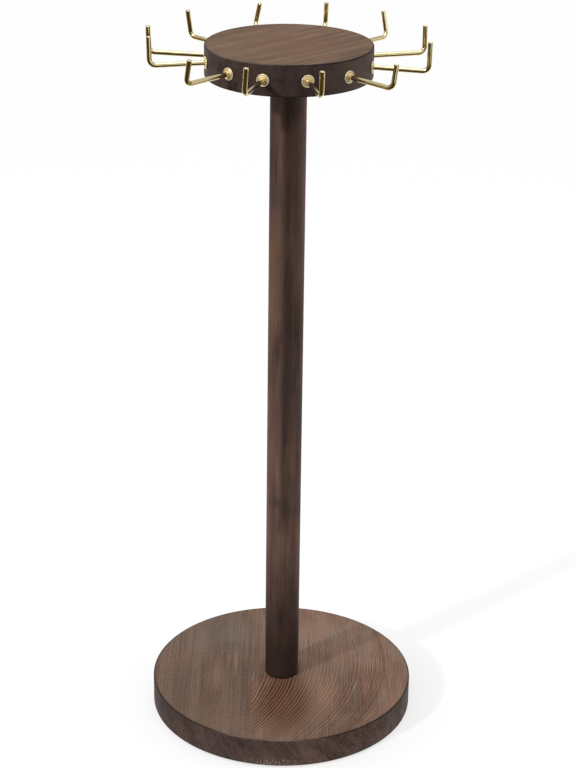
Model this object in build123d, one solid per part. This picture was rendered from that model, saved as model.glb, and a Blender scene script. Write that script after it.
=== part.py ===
from build123d import *
import os

# A free-standing necklace holder. A round base carries a column, and a round head turns on top of the column.
# L-shaped wire hooks stand out of the head's rim, each through a domed rosette.
# Millimetres, +Z up. The origin is on the table, under the middle of the base.

# Base board
base_diameter = 172.0
base_thickness = 19.0

# Column, a plain round rod
column_diameter = 22.2
column_length = 410.0

# Head board
head_diameter = 101.0
head_thickness = 19.0

# The sanded edges of the two boards and of the column's ends
board_edge_radius = 0.8
column_edge_radius = 0.4

# Non-slip pads, glued under the base, each set in from its edge to the pad's middle
pad_count = 4
pad_diameter = 14.0
pad_height = 1.0
pad_edge_radius = 0.3
pad_inset = 14.0

# Hooks, bent from round wire and screwed into the head
wire_diameter = 3.0
wire_end_radius = 0.5
hook_bend_radius = 4.0
shank_length = 16.0
shank_point_length = 3.0
shank_point_diameter = 0.8

# The hooks go round the rim in equal steps. Each is bent and fitted by hand, so no two are quite alike: a
# hook strays from its step and its upright leans to one side, both in degrees, counter-clockwise seen from
# above being plus, and it rises or drops from the middle of the rim. Its arm and its upright are measured to
# the corner that the bend rounds off. The first hook is the one next to +X, and the rest follow
# counter-clockwise.
hook_count = 12
hook_strays = [0.5, -0.7, -0.5, -0.2, 1.0, 5.0, -0.5, 1.5, -2.0, -2.5, -1.3, 1.0]
hook_leans = [2.0, 13.5, -2.0, -12.0, 10.0, 4.0, -6.0, 11.0, 4.0, 1.0, 11.0, 4.0]
hook_rises = [-0.6, 0.0, 0.0, 0.0, -1.2, -0.3, 0.6, 0.3, 0.0, 0.0, -0.6, -1.0]
arm_lengths = [34.4, 34.0, 34.0, 34.0, 34.0, 35.1, 33.7, 34.0, 34.0, 34.0, 34.9, 34.0]
upright_lengths = [16.5, 16.0, 15.9, 15.0, 17.0, 16.2, 17.1, 15.1, 15.8, 14.7, 14.2, 17.2]

# Rosettes, the low pressed discs on the hooks
rosette_diameter = 7.6
rosette_height = 1.2
rosette_lip_width = 0.6
rosette_lip_thickness = 0.5
rosette_dome_bulge = 0.15
wire_clearance = 0.05

# The bolt that holds the base to the column, with its washer
bolt_diameter = 6.0
bolt_head_diameter = 10.5
bolt_head_height = 3.3
bolt_head_edge_radius = 0.8
bolt_socket_size = 4.0
bolt_socket_depth = 2.0
bolt_tip_chamfer = 0.6
bolt_hole_clearance = 0.3
bolt_head_recess = 1.4
washer_diameter = 16.0
washer_thickness = 1.4
washer_clearance = 0.3

# The threaded inserts in the two ends of the column
insert_length = 15.0
insert_wall = 1.45
insert_rib_depth = 0.5
insert_rib_pitch = 2.5
insert_rib_width = 1.0
thread_clearance = 0.05
insert_clearance = 0.05
insert_hole_allowance = 2.0
insert_spare_thread = 3.0

# The pin that the head turns on: a screw end, a collar let into the column, and a journal with a groove
pin_collar_diameter = 14.0
pin_collar_thickness = 2.0
pin_collar_clearance = 0.15
journal_diameter = 8.0
journal_nose = 1.2
groove_depth = 1.2
groove_below_top = 2.4

# The split spring ring, loose in the groove
ring_wire_width = 1.1
ring_thickness = 1.1
ring_inner_clearance = 0.5
ring_play = 0.5
ring_split_width = 1.6

# The flanged socket pressed into the underside of the head, with the wood left above it
socket_cover = 5.4
socket_wall = 1.2
socket_flange_width = 3.0
socket_flange_thickness = 1.2
socket_end_wall = 1.0
socket_end_gap = 0.6
socket_mouth_chamfer = 0.4
socket_relief_gap = 0.4
socket_clearance = 0.05
running_clearance = 0.08

# The low-friction washer between the column and the head
thrust_washer_inset = 1.0
thrust_washer_thickness = 0.8
thrust_washer_clearance = 0.25

# How far a cut runs past the face it starts from
overcut = 1.0

# Levels, from the table up
base_bottom = pad_height
base_top = base_bottom + base_thickness
column_top = base_top + column_length
head_bottom = column_top + thrust_washer_thickness
hook_level = head_bottom + head_thickness / 2
bolt_seat = base_bottom + bolt_head_recess + bolt_head_height
counterbore_top = bolt_seat + washer_thickness
collar_bottom = column_top - pin_collar_thickness
socket_top = head_bottom + head_thickness - socket_cover
socket_end = socket_top - socket_end_wall
pin_top = socket_end - socket_end_gap
groove_top = pin_top - groove_below_top
groove_bottom = groove_top - ring_thickness - ring_play
ring_top = groove_bottom + ring_thickness

# Radii and lengths that two pieces share
head_radius = head_diameter / 2
column_radius = column_diameter / 2
wire_radius = wire_diameter / 2
bolt_radius = bolt_diameter / 2
insert_root_radius = bolt_radius + thread_clearance + insert_wall
insert_crest_radius = insert_root_radius + insert_rib_depth
insert_hole_radius = insert_crest_radius + insert_clearance
insert_hole_depth = insert_length + insert_hole_allowance
screw_engagement = insert_length - insert_spare_thread
journal_radius = journal_diameter / 2
bore_radius = journal_radius + running_clearance
groove_radius = journal_radius - groove_depth
ring_inner_radius = groove_radius + ring_inner_clearance
ring_outer_radius = ring_inner_radius + ring_wire_width
relief_radius = ring_outer_radius + socket_relief_gap
socket_radius = relief_radius + socket_wall
flange_radius = socket_radius + socket_flange_width
flange_top = head_bottom + socket_flange_thickness


def turned(*points):
    """A solid turned about Z from the closed outline through (radius, height) points."""
    outline = Polyline([(r, 0, z) for r, z in points], close=True)
    return revolve(make_face(outline), axis=Axis.Z)


def rod(radius, bottom, top):
    """A cylinder on Z from one height to another."""
    return Pos(Z=bottom) * extrude(Circle(radius), top - bottom)


def ends(solid):
    """The circular edges of a turned solid's lowest and highest faces, at its outer wall."""
    faces = solid.faces().filter_by(Axis.Z).sort_by(Axis.Z)
    outer = [face.outer_wire().edges() for face in (faces[0], faces[-1])]
    return outer[0] + outer[1]


def board(diameter, bottom, thickness):
    """A round board with both edges sanded over."""
    blank = rod(diameter / 2, bottom, bottom + thickness)
    return fillet(ends(blank), board_edge_radius)


def of_hook(values, index):
    """The value that belongs to a hook."""
    return values[index % len(values)]


def hook_angle(index):
    """The direction of a hook from the middle of the head, with its stray."""
    step = 360 / hook_count
    return (index + 0.5) * step + of_hook(hook_strays, index)


def on_rim(index):
    """The place of a hook: X out of the rim along the shank, Z up at the level of the hook."""
    return Rot(Z=hook_angle(index)) * Pos(X=head_radius, Z=hook_level + of_hook(hook_rises, index))


def foot_pad(index):
    """One round pad with an eased edge, flat on the table."""
    pad = fillet(ends(rod(pad_diameter / 2, 0, pad_height))[0:1], pad_edge_radius)
    angle = (index + 0.5) * 360 / pad_count
    return Rot(Z=angle) * Pos(X=base_diameter / 2 - pad_inset) * pad


def base_disc():
    """The base board, with a counterbored hole for the bolt from below."""
    counterbore_radius = washer_diameter / 2 + washer_clearance
    counterbore = rod(counterbore_radius, base_bottom - overcut, counterbore_top)
    hole = rod(bolt_radius + bolt_hole_clearance, base_bottom, base_top + overcut)
    return board(base_diameter, base_bottom, base_thickness) - counterbore - hole


def base_washer():
    """The washer between the bolt's head and the roof of the counterbore."""
    inner = bolt_radius + washer_clearance
    outer = washer_diameter / 2
    return turned((inner, bolt_seat), (outer, bolt_seat), (outer, counterbore_top), (inner, counterbore_top))


def base_bolt():
    """A button-head bolt with a hexagon socket, from below."""
    head_bottom_level = bolt_seat - bolt_head_height
    head = rod(bolt_head_diameter / 2, head_bottom_level, bolt_seat)
    head = fillet(ends(head)[0:1], bolt_head_edge_radius)
    shaft = rod(bolt_radius, bolt_seat, base_top + screw_engagement)
    shaft = chamfer(ends(shaft)[1:2], bolt_tip_chamfer)
    hexagon = RegularPolygon(bolt_socket_size / 2, 6, major_radius=False)
    socket = Pos(Z=head_bottom_level) * extrude(hexagon, bolt_socket_depth)
    return head + shaft - socket


def threaded_insert():
    """An insert with its mouth at height 0 and its ribbed body above."""
    inner = bolt_radius + thread_clearance
    root = insert_root_radius
    body = turned((inner, 0), (root, 0), (root, insert_length), (inner, insert_length))
    rib_count = int(insert_length // insert_rib_pitch)
    rib = turned(
        (inner, -insert_rib_width / 2), (root, -insert_rib_width / 2), (insert_crest_radius, 0),
        (root, insert_rib_width / 2), (inner, insert_rib_width / 2),
    )
    for index in range(rib_count):
        body += Pos(Z=(index + 0.5) * insert_length / rib_count) * rib
    return body


def foot_insert():
    """The insert in the foot of the column, its mouth down."""
    return Pos(Z=base_top) * threaded_insert()


def pivot_insert():
    """The insert in the top of the column, its mouth up under the pin's collar."""
    return Pos(Z=collar_bottom) * Rot(X=180) * threaded_insert()


def column():
    """The round column, drilled at both ends for the inserts and counterbored for the pin's collar."""
    blank = rod(column_radius, base_top, column_top)
    blank = fillet(ends(blank), column_edge_radius)
    foot_hole = rod(insert_hole_radius, base_top - overcut, base_top + insert_hole_depth)
    top_hole = rod(insert_hole_radius, collar_bottom - insert_hole_depth, column_top)
    collar_seat = rod(pin_collar_diameter / 2 + pin_collar_clearance, collar_bottom, column_top + overcut)
    return blank - foot_hole - top_hole - collar_seat


def pivot_pin():
    """The turned pin: screw end below, collar level with the column's end, grooved journal above."""
    screw_bottom = collar_bottom - screw_engagement
    collar = pin_collar_diameter / 2
    return turned(
        (0, screw_bottom),
        (bolt_radius - bolt_tip_chamfer, screw_bottom),
        (bolt_radius, screw_bottom + bolt_tip_chamfer),
        (bolt_radius, collar_bottom),
        (collar, collar_bottom),
        (collar, column_top),
        (journal_radius, column_top),
        (journal_radius, groove_bottom),
        (groove_radius, groove_bottom),
        (groove_radius, groove_top),
        (journal_radius, groove_top),
        (journal_radius, pin_top - journal_nose),
        (journal_radius - journal_nose, pin_top),
        (0, pin_top),
    )


def grip_ring():
    """The split ring, resting on the lower side of the pin's groove and wider than the socket's bore."""
    ring = rod(ring_outer_radius, groove_bottom, ring_top) - rod(ring_inner_radius, groove_bottom, ring_top)
    middle = (ring_inner_radius + ring_outer_radius) / 2
    split = extrude(Rectangle(2 * ring_wire_width, ring_split_width), ring_thickness)
    return ring - Pos(X=middle, Z=groove_bottom) * split


def pivot_socket():
    """The flanged socket of the head: a blind bore for the journal, with a relief for the ring."""
    relief_bottom = groove_bottom - socket_relief_gap
    relief_top = ring_top + socket_relief_gap
    return turned(
        (bore_radius + socket_mouth_chamfer, head_bottom),
        (flange_radius, head_bottom),
        (flange_radius, flange_top),
        (socket_radius, flange_top),
        (socket_radius, socket_top),
        (0, socket_top),
        (0, socket_end),
        (bore_radius, socket_end),
        (bore_radius, relief_top),
        (relief_radius, relief_top),
        (relief_radius, relief_bottom),
        (bore_radius, relief_bottom),
        (bore_radius, head_bottom + socket_mouth_chamfer),
    )


def thrust_washer():
    """The plain washer on the column's end, round the journal."""
    inner = journal_radius + thrust_washer_clearance
    outer = column_radius - thrust_washer_inset
    return turned((inner, column_top), (outer, column_top), (outer, head_bottom), (inner, head_bottom))


def head_disc():
    """The head board, with the socket's pocket in its underside and a blind hole in its rim for each hook."""
    pocket = rod(socket_radius + socket_clearance, head_bottom, socket_top + socket_clearance)
    flange_seat = rod(flange_radius + socket_clearance, head_bottom - overcut, flange_top)
    disc = board(head_diameter, head_bottom, head_thickness) - pocket - flange_seat
    drill = Rot(Y=90) * rod(wire_radius + wire_clearance, -shank_length - wire_clearance, overcut)
    for index in range(hook_count):
        disc -= on_rim(index) * drill
    return disc


def hook(index):
    """One hook: pointed shank, straight arm, quarter bend and upright with a cut and eased end."""
    point_end = -shank_length + shank_point_length
    arm = of_hook(arm_lengths, index)
    upright = of_hook(upright_lengths, index)
    path = FilletPolyline((point_end, 0, 0), (arm, 0, 0), (arm, 0, upright), radius=hook_bend_radius)
    wire = sweep(Plane(origin=path @ 0, z_dir=path % 0) * Circle(wire_radius), path=path)
    tip = wire.faces().sort_by(Axis.Z)[-1]
    wire = fillet(tip.edges(), wire_end_radius)
    point_start = (shank_point_diameter / 2, -shank_length)
    point = turned((0, -shank_length), point_start, (wire_radius, point_end), (0, point_end))
    lean = of_hook(hook_leans, index)
    return on_rim(index) * Rot(X=-lean) * (wire + Rot(Y=90) * point)


def rosette(index):
    """One rosette: a thin lip on the rim of the head, and a low dome with the wire through its middle."""
    bore = wire_radius + wire_clearance
    edge = rosette_diameter / 2
    dome_edge = edge - rosette_lip_width
    dome_middle = (dome_edge + bore) / 2
    dome_middle_height = (rosette_lip_thickness + rosette_height) / 2 + rosette_dome_bulge
    flat_sides = Polyline(
        (bore, 0, rosette_height),
        (bore, 0, 0),
        (edge, 0, 0),
        (edge, 0, rosette_lip_thickness),
        (dome_edge, 0, rosette_lip_thickness),
    )
    dome = ThreePointArc(flat_sides @ 1, (dome_middle, 0, dome_middle_height), flat_sides @ 0)
    turned_rosette = revolve(make_face(flat_sides + dome), axis=Axis.Z)
    return on_rim(index) * Rot(Y=90) * turned_rosette


def write(node, solid):
    """Writes one piece to its own file."""
    export_step(solid, f"parts/{node}.step")


os.makedirs("parts", exist_ok=True)
single_pieces = [
    base_disc, base_washer, base_bolt, foot_insert, column, pivot_insert, pivot_pin, grip_ring,
    thrust_washer, pivot_socket, head_disc,
]
for piece in single_pieces:
    write(piece.__name__, piece())
for number in range(pad_count):
    write(f"foot_pad_{number + 1}", foot_pad(number))
for number in range(hook_count):
    write(f"hook_{number + 1:02d}", hook(number))
    write(f"rosette_{number + 1:02d}", rosette(number))
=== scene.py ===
import math

import bmesh
import bpy
from mathutils import Matrix, Vector, noise


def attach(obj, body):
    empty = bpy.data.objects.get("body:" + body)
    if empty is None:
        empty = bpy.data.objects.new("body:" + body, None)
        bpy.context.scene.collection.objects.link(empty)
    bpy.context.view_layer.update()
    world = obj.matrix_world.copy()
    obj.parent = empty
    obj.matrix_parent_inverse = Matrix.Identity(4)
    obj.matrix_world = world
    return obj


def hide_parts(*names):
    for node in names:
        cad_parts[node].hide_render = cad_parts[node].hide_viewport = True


# A free-standing necklace holder: a round base, a column, and a head that turns, with hooks round its rim.
# Metres, +Z up, with the origin on the table under the middle of the base.
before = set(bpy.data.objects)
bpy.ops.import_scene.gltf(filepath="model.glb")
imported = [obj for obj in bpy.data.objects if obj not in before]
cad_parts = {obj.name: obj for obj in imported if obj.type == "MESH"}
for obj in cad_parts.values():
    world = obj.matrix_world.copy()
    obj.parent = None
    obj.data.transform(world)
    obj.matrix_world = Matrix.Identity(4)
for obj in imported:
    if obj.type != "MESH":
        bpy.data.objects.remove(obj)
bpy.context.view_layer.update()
mm = 0.001

# Camera, with its focal length in pixels of the photograph's long side
photo_height = 768
focal_length = 2064.9
sensor_width = 36.0
camera_place = (0.0, -1.2023, 0.7491)
camera_pitch = math.radians(23.34)
camera_yaw = math.radians(0.09)
camera_roll = math.radians(0.74)
camera_near = 0.05
camera_far = 50.0

# Lamps. An azimuth is in degrees from the front of the object, and plus is to its right.
lamp_distance = 3.0
key_azimuth = -48.0
key_elevation = 29.0
key_strength = 1.45
key_angle = 3.0
top_strength = 0.8
top_angle = 40.0
box_distance = 1.0
box_width = 0.45
box_height = 1.1
left_box_azimuth = -100.0
left_box_radiance = 2.4
right_box_azimuth = 88.0
right_box_radiance = 2.0
sky_overhead = 0.8
sky_horizon = 0.05

# The studio as the metal mirrors it, dim between two stretches of height, each as the direction's upward part
studio_dim = 0.5
studio_dim_from = (0.1, 0.3)
studio_dim_to = (0.6, 0.8)

# Floor
floor_size = 30.0
floor_colour = (0.92, 0.92, 0.92)
floor_bounce_colour = (0.3, 0.3, 0.3)
floor_white_share = 0.66

# Card in front of the object, between two azimuths, with a far wall that slopes down to nothing at an opening
card_near = 0.12
card_far = 3.4
card_top = 1.5
card_left = -125.0
card_right = 105.0
card_opening = 25.0
card_slope = 20.0
card_steps = 46
card_darkest = -10.0
card_fade = (45.0, 105.0)
card_dark_colour = (0.05, 0.033, 0.012)
card_pale_colour = (0.26, 0.20, 0.11)

# Hooks
wire_radius = 1.5 * mm
wire_end_radius = 0.5 * mm
hook_bend_radius = 4.0 * mm
shank_length = 16.0 * mm
shank_point_length = 3.0 * mm
shank_point_radius = 0.4 * mm
thread_pitch = 1.3 * mm
thread_depth = 0.35 * mm
thread_length = 12.0 * mm
wire_sides = 32
bend_steps = 20
round_steps = 5
thread_steps = 8
thread_steepness = 2.2

# Rosettes
rosette_radius = 3.8 * mm
rosette_height = 0.95 * mm
rosette_bead_radius = 0.36 * mm
rosette_channel_height = 0.42 * mm
rosette_channel_inset = 2.1 * rosette_bead_radius
rosette_hole_radius = 1.56 * mm
rosette_hole_edge_radius = 0.1 * mm
rosette_bulge = 0.12 * mm
rosette_dent = 0.03 * mm
rosette_dent_rate = 1.3
rosette_sides = 64
rosette_bead_steps = 14
rosette_dome_steps = 12
rosette_edge_steps = 4

# Wood, with the middle and the reach of each stretch of corner with a painted highlight, in millimetres
wood_sheen = 0.1
wood_roughness = (0.46, 0.62)
wood_relief = 0.03
base_edge_highlight = ((-12.0, -86.0, 19.5), (48.0, 20.0, 8.0))
head_edge_highlight = ((-30.0, -41.0, 449.5), (34.0, 30.0, 8.0))
outline_strength = 0.92
outline_near = 1.3
outline_far = 0.9

# Grain along the fibres: the sizes across them in millimetres, and the scales along them that draw it out
band_length = 0.02
band_size = 7.0
streak_length = 0.008
streak_size = 1.3
fibre_size = 0.5
head_grain_turn = 48.0
upright_length = 0.03

# Stains in the wood, and on the column also one patch of painted light: the middle and the radii of each in
# millimetres, its strength and its colour
base_stains = (
    ((20.0, -60.0, 20.0), (60.0, 55.0, 40.0), 0.40, (0.050, 0.026, 0.018)),
    ((42.0, 48.0, 20.0), (60.0, 50.0, 40.0), 0.30, (0.320, 0.215, 0.165)),
    ((-40.0, -30.0, 20.0), (45.0, 60.0, 40.0), 0.22, (0.060, 0.038, 0.028)),
    ((24.0, -26.0, 20.0), (15.0, 42.0, 30.0), 0.40, (0.300, 0.180, 0.118)),
    ((46.0, -25.0, 20.0), (15.0, 42.0, 30.0), 0.22, (0.070, 0.045, 0.033)),
    ((72.0, -22.0, 20.0), (13.0, 42.0, 30.0), 0.28, (0.280, 0.165, 0.108)),
    ((-43.0, -5.0, 20.0), (5.5, 26.0, 30.0), 0.40, (0.290, 0.175, 0.120)),
    ((-31.0, 12.0, 20.0), (1.8, 26.0, 30.0), 0.45, (0.310, 0.200, 0.140)),
    ((-37.0, 30.0, 20.0), (15.0, 13.0, 30.0), 0.35, (0.055, 0.038, 0.030)),
    ((-68.0, -20.0, 20.0), (12.0, 40.0, 30.0), 0.22, (0.060, 0.045, 0.033)),
    ((-46.0, 46.0, 20.0), (44.0, 32.0, 30.0), 0.32, (0.150, 0.135, 0.120)),
)
head_stains = (
    ((4.0, 2.0, 450.0), (36.0, 34.0, 20.0), 0.30, (0.190, 0.088, 0.050)),
)
column_stains_and_painted_light = (
    ((-5.0, -10.0, 326.0), (8.0, 10.0, 14.0), 0.40, (0.150, 0.085, 0.045)),
    ((-5.0, -10.0, 151.0), (9.0, 10.0, 5.0), 0.50, (0.045, 0.032, 0.027)),
    ((-1.0, -11.0, 68.0), (7.0, 9.0, 16.0), 0.45, (0.030, 0.024, 0.025)),
    ((2.0, -11.0, 232.0), (7.0, 9.0, 24.0), 0.30, (0.045, 0.035, 0.036)),
    ((-11.0, -4.0, 290.0), (8.0, 12.0, 70.0), 0.35, (0.190, 0.088, 0.055)),
    ((-11.0, -4.0, 140.0), (7.0, 12.0, 50.0), 0.16, (0.300, 0.165, 0.120)),
    # Painted light: a paler, greyer patch at the top of the column, where the head's shadow falls
    ((0.0, -11.0, 428.0), (14.0, 14.0, 22.0), 0.40, (0.085, 0.074, 0.074)),
)

# Painted light and shade on the column, in paler and darker stretches: the middle and the radii of each in
# millimetres, and its factor
column_light_patches = (
    ((-12.0, -3.0, 195.0), (5.5, 16.0, 200.0), 1.75),
    ((-8.5, -5.0, 302.0), (7.0, 14.0, 60.0), 1.35),
    ((-7.0, -7.0, 85.0), (7.0, 14.0, 50.0), 1.30),
    ((12.0, -3.0, 225.0), (4.5, 14.0, 130.0), 0.60),
    ((9.0, -8.0, 275.0), (10.0, 12.0, 62.0), 0.62),
    ((3.0, -11.0, 166.0), (14.0, 12.0, 34.0), 1.35),
)

# The column's painted light and shade across it and up it, its darkening towards the foot, and its painted
# shadow where it meets the base: two places in millimetres, and the factor at each, or else 0 and 1
column_left = (-11.0, -4.0, 0.5, 1.3)
column_middle = (-4.0, -0.5, 1.0, 0.5)
column_middle_low = (160.0, 125.0)
column_right = (1.0, 9.0, 1.0, 2.1)
column_right_low = (125.0, 160.0, 1.25, 2.1)
column_foot = (122.0, 40.0)
column_foot_strength = 0.82
# Painted shadow: a dark band at the bottom of the column, where it stands on the base
column_foot_shadow = (21.6, 20.6)

# Grain of the base: the seam of its two boards, and the rings of the right one, in millimetres
seam_x = -20.0
seam_blur = 0.4
ring_middle_y = 15.0
ring_bow = 140.0
ring_spacing = 2.1
ring_tilt = 0.8
ring_wander = 3.0
ring_unevenness = 4.0
ring_sharpness = 6.0
ring_band_size = 16.0
ring_relief = 0.02
base_line_strength = 0.7
left_redness = 0.5

# Places on the base where its rings are clear, calm or burnt: the middle and the radii of each in millimetres
clear_places = (
    ((24.0, -26.0, 20.0), (18.0, 46.0, 30.0)),
    ((0.0, -46.0, 20.0), (30.0, 50.0, 30.0)),
)
calm_place = ((-14.0, 34.0, 20.0), (13.0, 54.0, 30.0))
calm_clearness = 0.25
calm_redness = 0.2
burnt_place = ((2.0, -38.0, 20.0), (27.0, 46.0, 30.0))
burnt_strength = 0.75

# Rim of the base: its grain, its tone down it, and its painted light and shade across it, given as for the
# column
rim_slant = 38.0
rim_line_strength = 0.35
rim_down = (14.0, 8.0, 0.98, 1.2)
rim_painted_light_across = (
    (-82.0, -50.0, 0.36, 1.0),
    (-15.0, 20.0, 1.0, 1.25),
    (70.0, 86.0, 1.0, 0.5),
)

# Patches on the boards' rims: the middle and the radii of each in millimetres, its softness and its strength
rim_purple_place = ((-30.0, -78.0, 10.0), (50.0, 45.0, 30.0), 0.7)
rim_purple_strength = 0.3
rim_warm_place = ((-76.0, -40.0, 10.0), (26.0, 40.0, 30.0), 0.6)
rim_warm_strength = 0.3
chipped_place = ((-3.0, -86.0, 3.0), (26.0, 12.0, 4.0), 0.6)
chipped_strength = 0.85
# Painted light: a paler patch on the head's rim at the front right
head_rim_painted_light_place = ((40.0, -32.0, 440.0), (26.0, 36.0, 30.0), 0.8)
head_rim_painted_light_strength = 0.72

# Colours of the wood, where a pair is the darkest and the palest of its grain
base_dull_colours = ((0.073, 0.044, 0.031), (0.225, 0.156, 0.116))
base_red_colours = ((0.077, 0.035, 0.023), (0.235, 0.131, 0.090))
base_burnt_colours = ((0.048, 0.017, 0.009), (0.235, 0.108, 0.058))
base_line_colour = (0.37, 0.235, 0.16)
base_rim_colours = ((0.034, 0.020, 0.0165), (0.128, 0.080, 0.061))
rim_purple_colour = (0.055, 0.032, 0.037)
rim_warm_colour = (0.095, 0.046, 0.028)
rim_line_colour = (0.20, 0.13, 0.10)
chipped_colour = (0.4, 0.32, 0.27)
head_colours = ((0.074, 0.040, 0.024), (0.226, 0.135, 0.084))
head_rim_colours = ((0.027, 0.0168, 0.0158), (0.090, 0.058, 0.049))
# Painted light on the head's rim
head_rim_painted_light_colour = (0.12, 0.085, 0.07)
column_colours = ((0.037, 0.022, 0.0175), (0.178, 0.102, 0.078))
column_olive_colour = (0.075, 0.054, 0.040)
column_foot_colour = (0.022, 0.012, 0.010)
# Painted shadow at the column's foot
column_foot_shadow_colour = (0.012, 0.007, 0.006)
outline_colour = (0.013, 0.008, 0.007)
# Painted highlight along a stretch of a board's corner
edge_highlight_colour = (0.15, 0.115, 0.095)

# Colours of the other materials, with places across a rosette in millimetres from its middle
brass_colours = ((0.93, 0.81, 0.49), (0.86, 0.73, 0.40))
pressed_colours = ((1.0, 0.86, 0.52), (0.88, 0.66, 0.32))
# Painted shade in the channel of a rosette, between two places and with a strength
channel_shade_colour = (0.40, 0.27, 0.10)
channel_shade_inside = (2.3, 2.7)
channel_shade_outside = (3.1, 2.95)
channel_shade_strength = 0.5
bead_colour = (1.0, 0.88, 0.58)
bead_inside = (2.95, 3.15)
bead_roughness = 0.26
pressed_metal = 0.52
bead_metal = 0.35
steel_colours = ((0.48, 0.48, 0.5), (0.64, 0.64, 0.66))
nylon_colours = ((0.66, 0.63, 0.55), (0.78, 0.75, 0.68))
rubber_colours = ((0.022, 0.022, 0.023), (0.06, 0.058, 0.055))

# Angle between two faces, in degrees, from which the edge of a new piece looks sharp
sharp_angle = 38.0


class Nodes:
    """The nodes of one material or world. Each call adds nodes and gives their output for the next call."""

    def __init__(self, tree):
        self.tree = tree
        tree.nodes.clear()

    def add(self, kind, inputs, output=0, **settings):
        """One node with its settings, and its inputs given as numbers, colours or other nodes' outputs."""
        node = self.tree.nodes.new("ShaderNode" + kind)
        for name, setting in settings.items():
            setattr(node, name, setting)
        for name, given in inputs.items():
            if isinstance(given, bpy.types.NodeSocket):
                self.tree.links.new(given, node.inputs[name])
            else:
                node.inputs[name].default_value = given
        return node.outputs[output]

    def show(self, shader, kind):
        """Ends the nodes with this shader, for a material or a world."""
        node = self.tree.nodes.new("ShaderNodeOutput" + kind)
        self.tree.links.new(shader, node.inputs["Surface"])

    def math(self, operation, first, second=0.0, clamp=False):
        """One sum on one or two values."""
        return self.add("Math", {0: first, 1: second}, operation=operation, use_clamp=clamp)

    def place(self, scale=(1.0, 1.0, 1.0), turn=0.0, move=(0.0, 0.0, 0.0)):
        """The place on the object in millimetres, moved, turned about Z in degrees and then scaled."""
        here = self.add("TexCoord", {}, output="Object")
        moved = self.add("Mapping", {0: here, "Scale": (1 / mm,) * 3, "Location": move})
        turned = self.add("Mapping", {0: moved, "Rotation": (0.0, 0.0, math.radians(turn))})
        return self.add("Mapping", {0: turned, "Scale": scale})

    def noise(self, place, size, detail=3.0, roughness=0.55):
        """A soft noise from 0 to 1, whose features are about this large."""
        inputs = {"Vector": place, "Scale": 1 / size, "Detail": detail, "Roughness": roughness}
        return self.add("TexNoise", inputs)

    def noise_along(self, value, size, detail=2.0):
        """The same along one value alone."""
        inputs = {"W": value, "Scale": 1 / size, "Detail": detail}
        return self.add("TexNoise", inputs, noise_dimensions="1D")

    def spread(self, value, low, high, to_low=0.0, to_high=1.0):
        """Maps low to high on another range, held at its ends."""
        inputs = {0: value, 1: low, 2: high, 3: to_low, 4: to_high}
        return self.add("MapRange", inputs, clamp=True)

    def between(self, share, first, second):
        """A value between two others."""
        return self.add("Mix", {0: share, 2: first, 3: second}, data_type="FLOAT")

    def mix(self, share, first, second):
        """A colour between two others."""
        first, second = [
            given if isinstance(given, bpy.types.NodeSocket) else (*given, 1.0)
            for given in (first, second)
        ]
        return self.add("Mix", {0: share, 6: first, 7: second}, output=2, data_type="RGBA")

    def brighten(self, colour, factor):
        """A colour times a factor."""
        return self.add("VectorMath", {0: colour, "Scale": factor}, operation="SCALE")

    def length(self, vector):
        """The length of a vector."""
        return self.add("VectorMath", {0: vector}, output="Value", operation="LENGTH")

    def split(self, vector):
        """The three parts of a vector."""
        node = self.tree.nodes.new("ShaderNodeSeparateXYZ")
        self.tree.links.new(vector, node.inputs[0])
        return node.outputs

    def levelness(self):
        """1 on a level face and 0 on an upright one."""
        normal = self.add("TexCoord", {}, output="Normal")
        return self.math("ABSOLUTE", self.split(normal)[2])

    def steepness(self):
        """0 on the faces of a board and 1 on its rim, with a quick change at the corner."""
        return self.spread(self.levelness(), 0.75, 0.35)

    def blob(self, middle, radii, softness=0.6):
        """1 near a place on the object and 0 beyond its radii, in millimetres."""
        here = self.place(move=tuple(-part for part in middle))
        shrunk = self.add("Mapping", {0: here, "Scale": tuple(1 / radius for radius in radii)})
        return self.spread(self.length(shrunk), 1.0, 1.0 - softness)


def material(name, paint):
    """A material. paint() adds its nodes and gives the shader's inputs, with a height in millimetres."""
    made = bpy.data.materials.new(name)
    made.use_nodes = True
    nodes = Nodes(made.node_tree)
    inputs = paint(nodes)
    height = inputs.pop("Height")
    inputs["Normal"] = nodes.add("Bump", {"Height": height, "Distance": mm})
    nodes.show(nodes.add("BsdfPrincipled", inputs), "Material")
    return made


def streaked(nodes, turn, seed):
    """Three widths of streak along the fibres, which run along Y before the turn."""
    move = (seed * 131.0, seed * 57.0, seed * 83.0)
    stretched = nodes.place(scale=(1.0, band_length, 1.0), turn=turn, move=move)
    bands = nodes.noise(stretched, size=band_size, detail=1.0)
    drawn = nodes.place(scale=(1.0, streak_length, 1.0), turn=turn, move=move)
    streaks = nodes.noise(drawn, size=streak_size, detail=1.0)
    fibres = nodes.noise(drawn, size=fibre_size, detail=1.0, roughness=0.5)
    return bands, streaks, fibres


def weighted(nodes, *pairs):
    """The sum of values, each less its middle and times its weight."""
    total = 0.5
    for value, weight in pairs:
        centred = nodes.math("SUBTRACT", value, 0.5)
        total = nodes.math("ADD", total, nodes.math("MULTIPLY", centred, weight))
    return total


def toned(nodes, tone, darkest, palest):
    """The colour of a grain's tone, between its darkest and its palest."""
    return nodes.mix(nodes.spread(tone, 0.2, 0.8), darkest, palest)


def tinted(nodes, colour, tint, place, strength):
    """A colour under a soft patch of another. The place is its middle, its radii and perhaps a softness."""
    share = nodes.math("MULTIPLY", nodes.blob(*place), strength)
    return nodes.mix(share, colour, tint)


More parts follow.
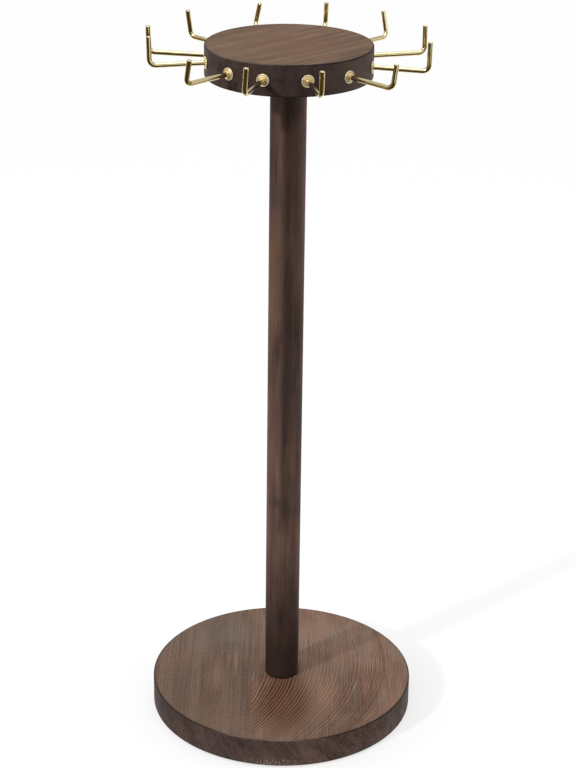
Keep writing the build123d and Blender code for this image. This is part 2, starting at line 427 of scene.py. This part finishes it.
def stained(nodes, colour, stains):
    """A colour under soft patches, of stain and on the column also of painted light, each through a little
    grain.
    """
    grain = nodes.noise(nodes.place(scale=(1.0, 0.1, 0.1)), size=1.5, detail=2.0)
    uneven = nodes.spread(grain, 0.3, 0.7, 0.7, 1.3)
    for middle, radii, strength, tint in stains:
        share = nodes.math("MULTIPLY", nodes.blob(middle, radii, 0.8), strength)
        colour = nodes.mix(nodes.math("MULTIPLY", share, uneven), colour, tint)
    return colour


def board_radius(board):
    """The radius of a board of the model in millimetres."""
    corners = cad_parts[board].data.vertices
    return max(corner.co.xy.length for corner in corners) / mm


def edged(nodes, colour, board, highlight):
    """A board's colour with a dark line round its corner, and a painted highlight that makes the line pale in
    one place.
    """
    radius = board_radius(board)
    patchy = nodes.noise(nodes.place(), size=9.0, detail=3.0)
    level = nodes.levelness()
    from_axis = nodes.length(nodes.place(scale=(1.0, 1.0, 0.0)))
    outermost = nodes.spread(from_axis, radius - outline_near, radius - outline_far)
    beside = nodes.math("MULTIPLY", outermost, nodes.spread(level, 0.98, 1.0, 0.0, 0.75))
    corner = nodes.math("MULTIPLY", nodes.spread(level, 0.1, 0.3), nodes.spread(level, 1.0, 0.85))
    outline = nodes.math("MULTIPLY", nodes.math("MAXIMUM", beside, corner), outline_strength)
    # Painted highlight: the corner line turns pale where the edge catches the light
    pale = nodes.math("MULTIPLY", nodes.blob(*highlight, 0.5), nodes.spread(patchy, 0.2, 0.6, 0.3, 0.8))
    line = nodes.mix(pale, outline_colour, edge_highlight_colour)
    return nodes.mix(outline, colour, line)


def satin(nodes, colour, fibres, height):
    """The shader's inputs for stained wood under a thin satin finish."""
    roughness = nodes.spread(fibres, 0.2, 0.8, *wood_roughness)
    return {"Base Color": colour, "Roughness": roughness, "Height": height, "Specular IOR Level": wood_sheen}


def paint_base_rim(nodes, lines, fibres):
    """The colour of the base's rim: slanting end grain, purplish at the front left, paler below, and painted
    light and shade across it.
    """
    slanting = nodes.add("Mapping", {0: nodes.place(), "Rotation": (0.0, math.radians(rim_slant), 0.0)})
    drawn = nodes.add("Mapping", {0: slanting, "Scale": (1.0, 1.0, 0.15)})
    figure = nodes.noise(drawn, size=8.0, detail=2.0)
    grain = nodes.noise(drawn, size=1.2, detail=2.0)
    colour = toned(nodes, weighted(nodes, (figure, 1.0), (grain, 1.1), (fibres, 0.5)), *base_rim_colours)
    colour = tinted(nodes, colour, rim_purple_colour, rim_purple_place, rim_purple_strength)
    colour = tinted(nodes, colour, rim_warm_colour, rim_warm_place, rim_warm_strength)
    x, _, z = nodes.split(nodes.place())
    factor = nodes.spread(z, *rim_down)
    # Painted light and shade: darker at the rim's left end, paler from the middle on to the right, and darker
    # again at its right end
    for stretch in rim_painted_light_across:
        factor = nodes.math("MULTIPLY", factor, nodes.spread(x, *stretch))
    colour = nodes.brighten(colour, factor)
    return nodes.mix(nodes.math("MULTIPLY", lines, rim_line_strength), colour, rim_line_colour)


def ring_lines(nodes, x, y, z):
    """The rings of the right board: fine lines in bowed, uneven steps, and broad bands that follow them."""
    from_middle = nodes.math("ABSOLUTE", nodes.math("SUBTRACT", y, ring_middle_y))
    bow = nodes.math("MULTIPLY", nodes.math("POWER", from_middle, 2.0), 0.5 / ring_bow)
    across = nodes.math("ADD", x, bow)
    across = nodes.math("SUBTRACT", across, nodes.math("MULTIPLY", z, ring_tilt))
    wander = nodes.noise(nodes.place(scale=(1.0, 0.25, 1.0)), size=14.0, detail=2.0)
    across = nodes.math("ADD", across, nodes.math("MULTIPLY", wander, ring_wander))
    uneven = nodes.noise_along(across, 7.0)
    across = nodes.math("ADD", across, nodes.math("MULTIPLY", uneven, ring_unevenness))
    phase = nodes.math("MULTIPLY", across, 2 * math.pi / ring_spacing)
    wave = nodes.spread(nodes.math("COSINE", phase), -1.0, 1.0)
    return nodes.math("POWER", wave, ring_sharpness), nodes.noise_along(across, ring_band_size)


def ring_clearness(nodes, calm):
    """How clearly the rings show: in patches, everywhere in the clear places, and little in the calm one."""
    patches = nodes.noise(nodes.place(), size=13.0, detail=2.0)
    clearness = nodes.spread(patches, 0.35, 0.65, 0.1, 1.0)
    for middle, radii in clear_places:
        clearness = nodes.math("ADD", clearness, nodes.blob(middle, radii), clamp=True)
    return nodes.math("MULTIPLY", clearness, nodes.spread(calm, 0.0, 1.0, 1.0, calm_clearness))


def base_redness(nodes, right, calm):
    """How red the base is: in drawn-out patches, more so on the right board, and little in the calm place."""
    patches = nodes.noise(nodes.place(scale=(1.0, 0.15, 1.0), move=(40.0, 10.0, 0.0)), size=6.0, detail=2.0)
    board = nodes.spread(right, 0.0, 1.0, left_redness, 1.0)
    redness = nodes.math("MULTIPLY", nodes.spread(patches, 0.38, 0.64), board)
    return nodes.math("MULTIPLY", redness, nodes.spread(calm, 0.0, 1.0, 1.0, calm_redness))


def chipped_edge(nodes, colour):
    """A board's colour with pale specks along one stretch of its lower edge."""
    specks = nodes.spread(nodes.noise(nodes.place(), size=1.1, detail=2.0), 0.54, 0.62)
    chipped = nodes.math("MULTIPLY", specks, nodes.blob(*chipped_place))
    return nodes.mix(nodes.math("MULTIPLY", chipped, chipped_strength), colour, chipped_colour)


def paint_base(nodes):
    """Stained wood of two boards: straight grain left of the seam, and bowed rings right of it."""
    bands, streaks, fibres = streaked(nodes, turn=0.0, seed=1.0)
    clouds = nodes.noise(nodes.place(scale=(1.0, 0.6, 1.0)), size=24.0, detail=3.0)
    x, y, z = nodes.split(nodes.place())
    lines, ring_bands = ring_lines(nodes, x, y, z)
    right = nodes.spread(x, seam_x - seam_blur, seam_x + seam_blur)
    calm = nodes.blob(*calm_place)
    lines = nodes.math("MULTIPLY", lines, nodes.math("MULTIPLY", right, ring_clearness(nodes, calm)))

    speckle = nodes.noise(nodes.place(scale=(1.0, 0.35, 1.0)), size=1.0, detail=2.0)
    left_tone = weighted(nodes, (bands, 0.3), (streaks, 0.2), (fibres, 0.75), (speckle, 0.6), (clouds, 0.3))
    right_tone = weighted(nodes, (ring_bands, 0.55), (streaks, 0.15), (fibres, 1.1), (clouds, 0.35))
    tone = nodes.between(right, left_tone, right_tone)
    dull = toned(nodes, tone, *base_dull_colours)
    red = toned(nodes, tone, *base_red_colours)
    colour = nodes.mix(base_redness(nodes, right, calm), dull, red)

    colour = stained(nodes, colour, base_stains)
    colour = nodes.mix(nodes.math("MULTIPLY", lines, base_line_strength), colour, base_line_colour)
    burnt = nodes.mix(lines, *base_burnt_colours)
    colour = tinted(nodes, colour, burnt, burnt_place, burnt_strength)
    colour = nodes.mix(nodes.steepness(), colour, paint_base_rim(nodes, lines, fibres))
    colour = edged(nodes, chipped_edge(nodes, colour), "base_disc", base_edge_highlight)
    relief = nodes.math("MULTIPLY", fibres, wood_relief)
    height = nodes.math("ADD", relief, nodes.math("MULTIPLY", lines, ring_relief))
    return satin(nodes, colour, fibres, height)


def paint_head_rim(nodes, fibres):
    """The colour of the head's rim: dark and a little purplish, with faint stains, and painted light that
    makes it paler at the right.
    """
    stains = nodes.noise(nodes.place(scale=(1.0, 1.0, 0.7)), size=7.0, detail=4.0)
    grain = nodes.noise(nodes.place(scale=(0.3, 0.3, 1.0)), size=0.9, detail=2.0)
    tone = weighted(nodes, (stains, 0.8), (grain, 0.5), (fibres, 0.3))
    colour = toned(nodes, tone, *head_rim_colours)
    # Painted light: paler on the rim to the right
    return tinted(nodes, colour, head_rim_painted_light_colour, head_rim_painted_light_place, head_rim_painted_light_strength)


def paint_head(nodes):
    """Stained wood with fine slanting streaks of little contrast, darker round the rim."""
    bands, streaks, fibres = streaked(nodes, turn=head_grain_turn, seed=5.0)
    clouds = nodes.noise(nodes.place(), size=16.0, detail=3.0)
    tone = weighted(nodes, (bands, 0.2), (streaks, 0.5), (fibres, 2.3), (clouds, 0.35))
    colour = stained(nodes, toned(nodes, tone, *head_colours), head_stains)
    colour = nodes.mix(nodes.steepness(), colour, paint_head_rim(nodes, fibres))
    colour = edged(nodes, colour, "head_disc", head_edge_highlight)
    return satin(nodes, colour, fibres, nodes.math("MULTIPLY", fibres, wood_relief))


def painted_column_light(nodes, patches):
    """Painted light and shade on the column: a dark left side, a middle that darkens to the right, and a pale
    right side.
    """
    x, _, z = nodes.split(nodes.place())
    wavy = nodes.math("ADD", x, nodes.spread(patches, 0.3, 0.7, -1.0, 1.0))
    left = nodes.spread(x, *column_left)
    centre = nodes.spread(wavy, *column_middle)
    centre = nodes.math("MAXIMUM", centre, nodes.spread(z, *column_middle_low))
    right = nodes.spread(x, *column_right)
    right = nodes.math("MINIMUM", right, nodes.spread(z, *column_right_low))
    factor = nodes.math("MULTIPLY", nodes.math("MULTIPLY", left, centre), right)
    for middle, radii, tone in column_light_patches:
        near = nodes.blob(middle, radii, 0.7)
        factor = nodes.math("MULTIPLY", factor, nodes.spread(near, 0.0, 1.0, 1.0, tone))
    return factor


def paint_column(nodes):
    """Stained wood with upright grain and patches of darker stain, under painted light and shade, and darker
    towards the foot.
    """
    move = (11.0, 23.0, 37.0)
    upright = nodes.place(scale=(1.0, 1.0, upright_length), move=move)
    streaks = nodes.noise(upright, size=2.4, detail=3.0)
    fibres = nodes.noise(upright, size=0.6, detail=2.0, roughness=0.6)
    patches = nodes.noise(nodes.place(scale=(1.0, 1.0, 0.25), move=move), size=12.0, detail=3.0)
    tone = weighted(nodes, (streaks, 0.3), (fibres, 0.45), (patches, 0.8))
    colour = toned(nodes, tone, *column_colours)
    hue = nodes.noise(nodes.place(scale=(1.0, 1.0, 0.2), move=(71.0, 5.0, 19.0)), size=8.0, detail=2.0)
    colour = nodes.mix(nodes.spread(hue, 0.45, 0.65, 0.0, 0.35), colour, column_olive_colour)
    # Painted light and shade across and up the column
    colour = nodes.brighten(colour, painted_column_light(nodes, patches))
    colour = stained(nodes, colour, column_stains_and_painted_light)
    z = nodes.split(nodes.place())[2]
    foot = nodes.math("MULTIPLY", nodes.spread(z, *column_foot), column_foot_strength)
    colour = nodes.mix(foot, colour, column_foot_colour)
    # Painted shadow: a dark band at the bottom of the column, where it stands on the base
    colour = nodes.mix(nodes.spread(z, *column_foot_shadow), colour, column_foot_shadow_colour)
    return satin(nodes, colour, fibres, nodes.math("MULTIPLY", fibres, wood_relief))


def paint_brass(nodes):
    """Polished pale gold plating with faint waves and cloudy spots."""
    clouds = nodes.noise(nodes.place(), size=3.0, detail=4.0)
    specks = nodes.noise(nodes.place(), size=0.5, detail=2.0)
    colour = nodes.mix(nodes.spread(clouds, 0.3, 0.7), *brass_colours)
    roughness = nodes.spread(specks, 0.35, 0.75, 0.12, 0.20)
    height = nodes.math("MULTIPLY", clouds, 0.02)
    return {"Base Color": colour, "Roughness": roughness, "Height": height, "Metallic": 1.0}


def paint_rosette(nodes):
    """A duller, cloudy plating on pressed discs, with painted shade in the channel inside a bright bead."""
    from_middle = nodes.length(nodes.place(scale=(0.0, 1.0, 1.0)))
    rings = nodes.noise_along(from_middle, 0.4)
    clouds = nodes.noise(nodes.place(), size=1.1, detail=3.0)
    bead = nodes.spread(from_middle, *bead_inside)
    colour = nodes.mix(nodes.spread(clouds, 0.35, 0.65), *pressed_colours)
    # Painted shade in the channel inside the bead
    inside = nodes.spread(from_middle, *channel_shade_inside)
    channel = nodes.math("MULTIPLY", inside, nodes.spread(from_middle, *channel_shade_outside))
    colour = nodes.mix(nodes.math("MULTIPLY", channel, channel_shade_strength), colour, channel_shade_colour)
    colour = nodes.mix(bead, colour, bead_colour)
    roughness = nodes.between(bead, nodes.spread(clouds, 0.3, 0.7, 0.3, 0.44), bead_roughness)
    height = nodes.math("ADD", nodes.math("MULTIPLY", clouds, 0.38), nodes.math("MULTIPLY", rings, 0.03))
    metal = nodes.spread(bead, 0.0, 1.0, pressed_metal, bead_metal)
    return {"Base Color": colour, "Roughness": roughness, "Height": height, "Metallic": metal}


def paint_steel(nodes):
    """Zinc-plated steel with turning marks."""
    marks = nodes.noise(nodes.place(scale=(1.0, 1.0, 12.0)), size=3.0, detail=4.0)
    clouds = nodes.noise(nodes.place(), size=4.0, detail=3.0)
    colour = nodes.mix(clouds, *steel_colours)
    roughness = nodes.spread(marks, 0.3, 0.7, 0.25, 0.45)
    height = nodes.math("MULTIPLY", marks, 0.01)
    return {"Base Color": colour, "Roughness": roughness, "Height": height, "Metallic": 1.0}


def paint_nylon(nodes):
    """Plain off-white nylon with a faint moulded texture."""
    grain = nodes.noise(nodes.place(), size=0.4, detail=3.0)
    clouds = nodes.noise(nodes.place(), size=5.0, detail=2.0)
    colour = nodes.mix(clouds, *nylon_colours)
    roughness = nodes.spread(grain, 0.3, 0.7, 0.45, 0.6)
    height = nodes.math("MULTIPLY", grain, 0.02)
    return {"Base Color": colour, "Roughness": roughness, "Height": height}


def paint_rubber(nodes):
    """Matt black non-slip rubber with a pebbled face and dust in its pits."""
    pebbles = nodes.add("TexVoronoi", {"Vector": nodes.place(), "Scale": 1.6}, feature="SMOOTH_F1")
    dust = nodes.noise(nodes.place(), size=2.5, detail=4.0)
    colour = nodes.mix(nodes.spread(dust, 0.45, 0.8), *rubber_colours)
    roughness = nodes.spread(dust, 0.3, 0.7, 0.7, 0.9)
    height = nodes.math("MULTIPLY", pebbles, -0.12)
    return {"Base Color": colour, "Roughness": roughness, "Height": height}


def dress(node, finish):
    """Gives a node of the model this material."""
    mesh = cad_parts[node].data
    mesh.materials.clear()
    mesh.materials.append(finish)


def piece(name, mesh, place, body, slot, finish, *nodes):
    """A new piece of the object from a bmesh in its own axes, which stands for nodes of the model."""
    for edge in mesh.edges:
        edge.smooth = edge.calc_face_angle(0.0) < math.radians(sharp_angle)
    for face in mesh.faces:
        face.smooth = True
    data = bpy.data.meshes.new(name)
    mesh.to_mesh(data)
    mesh.free()
    data.materials.append(finish)
    made = bpy.data.objects.new(name, data)
    made.matrix_world = place
    bpy.context.scene.collection.objects.link(made)
    shading = made.modifiers.new("even_normals", "WEIGHTED_NORMAL")
    shading.keep_sharp = True
    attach(made, body)
    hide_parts(*nodes)


def join_rings(mesh, rings, closed=False):
    """Faces between each ring of corners and the next, and also from the last to the first if closed."""
    pairs = list(zip(rings, rings[1:]))
    if closed:
        pairs.append((rings[-1], rings[0]))
    for first, second in pairs:
        for side in range(len(first)):
            after = (side + 1) % len(first)
            mesh.faces.new((first[side], first[after], second[after], second[side]))


def box_middle(corners):
    """The middle of the box round these corners."""
    lowest = Vector(map(min, zip(*corners)))
    highest = Vector(map(max, zip(*corners)))
    return (lowest + highest) / 2


def measured_hook(node):
    """The place, the reach of the arm and the length of the upright of a hook in the model."""
    corners = [vertex.co.copy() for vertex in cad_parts[node].data.vertices]
    nearest = min(corner.xy.length for corner in corners)
    point = box_middle([corner for corner in corners if corner.xy.length < nearest + wire_radius / 8])
    direction = math.atan2(point.y, point.x)
    start = Matrix.Translation((point.xy.length + shank_length, 0, point.z))
    rim = Matrix.Rotation(direction, 4, "Z") @ start
    local = [rim.inverted() @ corner for corner in corners]
    highest = max(corner.z for corner in local)
    middle = box_middle([corner for corner in local if corner.z > highest - wire_radius])
    lean = math.atan2(middle.y, middle.z)
    length = max(corner.y * math.sin(lean) + corner.z * math.cos(lean) for corner in local)
    return rim @ Matrix.Rotation(-lean, 4, "X"), middle.x, length


def hook_rings(reach, length):
    """Each ring of a hook: its middle, the slope of its axis, its radius, and the thread's depth there."""
    rings = [(-shank_length, 0.0, 0.0, shank_point_radius, 0.0)]
    step = thread_pitch / thread_steps
    for number in range(1, int(thread_length / step) + 1):
        along = number * step
        taper = min(1.0, along / shank_point_length)
        radius = shank_point_radius + (wire_radius - shank_point_radius) * taper
        fade = min(1.0, (thread_length - along) / thread_pitch) * taper
        rings.append((along - shank_length, 0.0, 0.0, radius, thread_depth * fade))
    rings.append((0.0, 0.0, 0.0, wire_radius, 0.0))
    middle = (reach - hook_bend_radius, hook_bend_radius)
    for number in range(bend_steps + 1):
        slope = math.pi / 2 * number / bend_steps
        x = middle[0] + hook_bend_radius * math.sin(slope)
        z = middle[1] - hook_bend_radius * math.cos(slope)
        rings.append((x, z, slope, wire_radius, 0.0))
    for number in range(round_steps + 1):
        turn = math.pi / 2 * number / round_steps
        radius = wire_radius - wire_end_radius * (1 - math.cos(turn))
        z = length - wire_end_radius * (1 - math.sin(turn))
        rings.append((reach, z, math.pi / 2, radius, 0.0))
    return rings


def hook_mesh(reach, length):
    """A bent wire with a screw thread cut into its shank: X out along the shank, Z up along the upright."""
    mesh = bmesh.new()
    loops = []
    for x, z, slope, radius, depth in hook_rings(reach, length):
        loop = []
        for side in range(wire_sides):
            turn = 2 * math.pi * side / wire_sides
            winding = (x / thread_pitch - side / wire_sides) % 1.0
            cut = radius - depth * min(1.0, thread_steepness * abs(2 * winding - 1))
            up = cut * math.sin(turn)
            corner = (x - up * math.sin(slope), cut * math.cos(turn), z + up * math.cos(slope))
            loop.append(mesh.verts.new(corner))
        loops.append(loop)
    join_rings(mesh, loops)
    for loop, turn in ((loops[0], -1), (loops[-1], 1)):
        mesh.faces.new(loop[::turn])
    bmesh.ops.recalc_face_normals(mesh, faces=mesh.faces)
    return mesh


def arc(middle, radius, start, stop, steps):
    """Points (radius, height) on an arc, with its angles in degrees from the outward direction."""
    points = []
    for number in range(steps + 1):
        angle = math.radians(start + (stop - start) * number / steps)
        points.append((middle[0] + radius * math.cos(angle), middle[1] + radius * math.sin(angle)))
    return points


def rosette_outline():
    """The closed outline of a rosette: flat back, beaded edge, shallow channel, low dome and hole."""
    bead = rosette_bead_radius
    edge = rosette_hole_edge_radius
    hole = rosette_hole_radius
    outline = [(hole, 0.0)]
    outline += arc((rosette_radius - bead, bead), bead, -90, 150, rosette_bead_steps)
    channel = (rosette_radius - rosette_channel_inset, rosette_channel_height)
    outline.append(channel)
    for number in range(1, rosette_dome_steps + 1):
        share = number / rosette_dome_steps
        radius = channel[0] + (hole + edge - channel[0]) * share
        height = channel[1] + (rosette_height - channel[1]) * share
        outline.append((radius, height + rosette_bulge * math.sin(math.pi * share)))
    outline += arc((hole + edge, rosette_height - edge), edge, 105, 180, rosette_edge_steps)
    return outline


def rosette_mesh(seed):
    """A pressed disc turned about X, with faint dents from the press."""
    mesh = bmesh.new()
    rings = []
    for radius, height in rosette_outline():
        ring = []
        for side in range(rosette_sides):
            turn = 2 * math.pi * side / rosette_sides
            corner = Vector((height, radius * math.cos(turn), radius * math.sin(turn)))
            if height > rosette_bead_radius:
                spot = corner / mm * rosette_dent_rate + Vector((seed * 7.0, 0, 0))
                corner.x -= rosette_dent * (1 + noise.noise(spot))
            ring.append(mesh.verts.new(corner))
        rings.append(ring)
    join_rings(mesh, rings, closed=True)
    bmesh.ops.recalc_face_normals(mesh, faces=mesh.faces)
    return mesh


def pointing(azimuth, elevation):
    """The direction from the object to a lamp."""
    turn, rise = math.radians(azimuth), math.radians(elevation)
    return Vector((math.sin(turn) * math.cos(rise), -math.cos(turn) * math.cos(rise), math.sin(rise)))


def add_lamp(name, kind, place, target, **settings):
    """A lamp at a place, turned to its target."""
    lamp = bpy.data.lights.new(name, kind)
    for key, setting in settings.items():
        setattr(lamp, key, setting)
    made = bpy.data.objects.new(name, lamp)
    made.location = place
    made.rotation_euler = (Vector(place) - Vector(target)).to_track_quat("Z", "Y").to_euler()
    made.visible_camera = False
    bpy.context.scene.collection.objects.link(made)
    return made


def add_box(name, azimuth, radiance):
    """A tall soft box standing on the floor beside the object, which polished metal doesn't show."""
    place = pointing(azimuth, 0.0) * box_distance + Vector((0, 0, box_height / 2))
    target = Vector((0, 0, box_height / 2))
    area = box_width * box_height
    box = add_lamp(
        name, "AREA", place, target, shape="RECTANGLE", size=box_width, size_y=box_height,
        energy=radiance * area * math.pi,
    )
    box.visible_glossy = False


def add_lights():
    """A key lamp from the upper left, a broad one from above, and two soft boxes."""
    key_place = pointing(key_azimuth, key_elevation) * lamp_distance
    add_lamp("key", "SUN", key_place, (0, 0, 0), energy=key_strength, angle=math.radians(key_angle))
    top_place = (0, 0, lamp_distance)
    add_lamp("top", "SUN", top_place, (0, 0, 0), energy=top_strength, angle=math.radians(top_angle))
    add_box("left_box", left_box_azimuth, left_box_radiance)
    add_box("right_box", right_box_azimuth, right_box_radiance)


def seen_directly(nodes):
    """1 for a ray that shows the background itself: from the camera, or by a reflection."""
    rays = nodes.tree.nodes.new("ShaderNodeLightPath").outputs
    seen = nodes.math("MAXIMUM", rays["Is Camera Ray"], rays["Is Glossy Ray"])
    return nodes.math("MAXIMUM", seen, rays["Is Transmission Ray"])


def add_sky():
    """White where it is seen, dimmer at mid height where it is mirrored, and else a soft light from above."""
    world = bpy.data.worlds.new("studio")
    bpy.context.scene.world = world
    world.use_nodes = True
    nodes = Nodes(world.node_tree)
    direction = nodes.add("TexCoord", {}, output="Generated")
    height = nodes.split(direction)[2]
    light = nodes.add("Background", {"Color": nodes.spread(height, 0.0, 1.0, sky_horizon, sky_overhead)})
    falling = nodes.spread(height, *studio_dim_from, 1.0, studio_dim)
    rising = nodes.spread(height, *studio_dim_to, 0.0, 1.0)
    mirrored = nodes.math("MAXIMUM", falling, rising)
    rays = nodes.tree.nodes.new("ShaderNodeLightPath").outputs
    level = nodes.math("MAXIMUM", mirrored, nodes.math("SUBTRACT", 1.0, rays["Is Glossy Ray"]))
    white = nodes.add("Background", {"Color": level})
    nodes.show(nodes.add("MixShader", {0: seen_directly(nodes), 1: light, 2: white}), "World")


def add_floor():
    """A plain white floor that keeps the object's shadow and throws little light back on it."""
    mesh = bpy.data.meshes.new("floor")
    half = floor_size / 2
    corners = [(-half, -half, 0), (half, -half, 0), (half, half, 0), (-half, half, 0)]
    mesh.from_pydata(corners, [], [(0, 1, 2, 3)])
    floor = bpy.data.objects.new("floor", mesh)
    bpy.context.scene.collection.objects.link(floor)
    made = bpy.data.materials.new("floor")
    made.use_nodes = True
    nodes = Nodes(made.node_tree)
    seen = seen_directly(nodes)
    colour = nodes.mix(seen, floor_bounce_colour, floor_colour)
    lit = nodes.add("BsdfDiffuse", {"Color": colour})
    white = nodes.add("Emission", {"Color": (1.0, 1.0, 1.0, 1.0)})
    share = nodes.math("MULTIPLY", seen, floor_white_share)
    nodes.show(nodes.add("MixShader", {0: share, 1: lit, 2: white}), "Material")
    mesh.materials.append(made)


def paint_card(nodes):
    """Dark brown in front of the object and paler to its sides, as a studio's own gear."""
    x, y, _ = nodes.split(nodes.place())
    turn = nodes.math("ARCTAN2", x, nodes.math("MULTIPLY", y, -1.0))
    azimuth = nodes.math("MULTIPLY", turn, 180 / math.pi)
    aside = nodes.math("ABSOLUTE", nodes.math("SUBTRACT", azimuth, card_darkest))
    clouds = nodes.noise(nodes.place(), size=300.0, detail=2.0)
    share = nodes.math("MULTIPLY", nodes.spread(aside, *card_fade), nodes.spread(clouds, 0.3, 0.7, 0.7, 1.2))
    return nodes.mix(share, card_dark_colour, card_pale_colour)


def add_card():
    """A card in front, with a wall beyond it, that only reflections show: the wire's dark line."""
    mesh = bpy.data.meshes.new("card")
    corners = []
    for number in range(card_steps + 1):
        azimuth = card_left + (card_right - card_left) * number / card_steps
        top = card_top * min(1.0, max(0.0, (card_opening - azimuth) / card_slope))
        for distance, height in ((card_near, mm), (card_far, mm), (card_far, max(top, 2 * mm))):
            corners.append(pointing(azimuth, 0.0) * distance + Vector((0, 0, height)))
    faces = []
    for side in range(card_steps):
        for first in (3 * side, 3 * side + 1):
            faces.append((first, first + 1, first + 4, first + 3))
    mesh.from_pydata(corners, [], faces)
    card = bpy.data.objects.new("card", mesh)
    bpy.context.scene.collection.objects.link(card)
    made = bpy.data.materials.new("card")
    made.use_nodes = True
    nodes = Nodes(made.node_tree)
    nodes.show(nodes.add("Emission", {"Color": paint_card(nodes)}), "Material")
    mesh.materials.append(made)
    card.visible_camera = False
    card.visible_diffuse = False
    card.visible_shadow = False


def add_camera():
    """The photograph's point of view."""
    data = bpy.data.cameras.new("camera")
    data.sensor_width = sensor_width
    data.lens = focal_length / photo_height * sensor_width
    data.clip_start = camera_near
    data.clip_end = camera_far
    camera = bpy.data.objects.new("camera", data)
    turn = Matrix.Rotation(-camera_yaw, 4, "Z") @ Matrix.Rotation(math.pi / 2 - camera_pitch, 4, "X")
    camera.matrix_world = Matrix.Translation(camera_place) @ turn @ Matrix.Rotation(camera_roll, 4, "Z")
    bpy.context.scene.collection.objects.link(camera)
    bpy.context.scene.camera = camera


def add_hooks():
    """The hooks and their rosettes, where the model has them."""
    brass = material("brass", paint_brass)
    pressed = material("pressed_brass", paint_rosette)
    hooks = sorted(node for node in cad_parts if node.startswith("hook_"))
    for seed, node in enumerate(hooks):
        place, reach, length = measured_hook(node)
        number = node.removeprefix("hook_")
        wire = hook_mesh(reach, length)
        piece(f"wire_hook_{number}", wire, place, "head", "hook_brass", brass, node)
        disc = rosette_mesh(seed)
        rosette = f"rosette_{number}"
        piece(f"pressed_rosette_{number}", disc, place, "head", "rosette_brass", pressed, rosette)


def dress_model():
    """The materials of the pieces that keep the model's own shape."""
    dress("base_disc", material("base_wood", paint_base))
    dress("column", material("column_wood", paint_column))
    dress("head_disc", material("head_wood", paint_head))
    steel = material("zinc_steel", paint_steel)
    for node in ("base_bolt", "base_washer", "foot_insert", "pivot_insert", "pivot_pin", "grip_ring"):
        dress(node, steel)
    nylon = material("nylon", paint_nylon)
    for node in ("pivot_socket", "thrust_washer"):
        dress(node, nylon)
    rubber = material("pad_rubber", paint_rubber)
    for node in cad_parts:
        if node.startswith("foot_pad_"):
            dress(node, rubber)


add_camera()
add_sky()
add_lights()
add_floor()
add_card()
dress_model()
add_hooks()

bpy.context.scene.view_settings.view_transform = "Standard"
